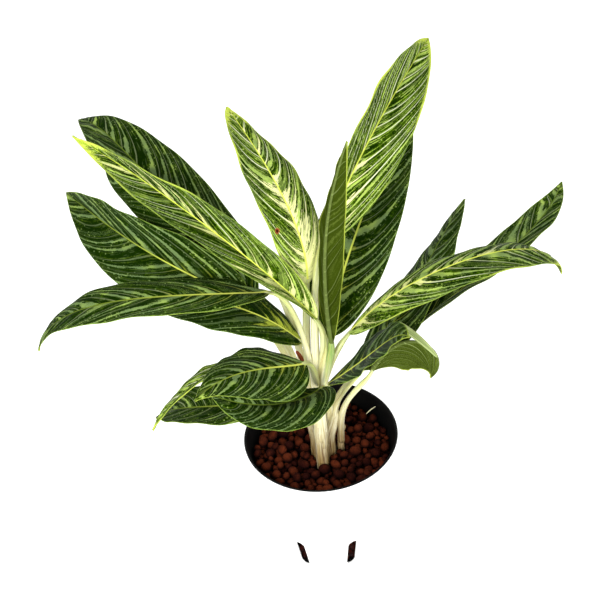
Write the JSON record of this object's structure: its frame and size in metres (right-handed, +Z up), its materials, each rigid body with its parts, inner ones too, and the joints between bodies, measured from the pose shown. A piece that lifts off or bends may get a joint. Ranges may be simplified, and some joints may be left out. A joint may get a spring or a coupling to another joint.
{
  "type": "potted chinese evergreen",
  "caption": "Striped chinese evergreen in a round slotted culture pot of fired clay pebbles, with long arching leaves on pale petioles.",
  "frame": {"origin": "middle of the pot's flat underside", "axes": "+Z up along the pot's axis, +X to the right as the front sees it, -Y towards the front"},
  "size_m": [0.5213, 0.4082, 0.5319],
  "materials": {
    "pot_plastic": "thin moulded plastic, satin white outside and black inside and over the rim",
    "fired_clay": "matt, rough, dark red-brown fired clay pebbles",
    "petiole": "smooth ivory to pale yellow-green stalks with fine lengthwise streaks and dry sheaths at the foot",
    "leaf": "satin dark green blade with silvery feathered bands along the side veins and a broad cream midrib"
  },
  "bodies": {
    "root": {"pot": "pot_plastic", "clay_pebbles": "fired_clay", "shoot_front": "petiole", "shoot_left": "petiole", "shoot_right": "petiole", "shoot_outer": "petiole", "leaf_tall_right": "leaf", "leaf_tall_back": "leaf", "leaf_upright": "leaf", "leaf_top_left": "leaf", "leaf_broad_back": "leaf", "leaf_long_left": "leaf", "leaf_broad_left": "leaf", "leaf_between": "leaf", "leaf_level_left": "leaf", "leaf_shaded_left": "leaf", "leaf_arching_front": "leaf", "leaf_edge_on": "leaf", "leaf_low_front": "leaf", "leaf_lowest": "leaf", "leaf_bright_right": "leaf", "leaf_narrow_right": "leaf", "leaf_far_right": "leaf", "leaf_low_right": "leaf", "leaf_turned_over": "leaf"}
  },
  "joints": []
}
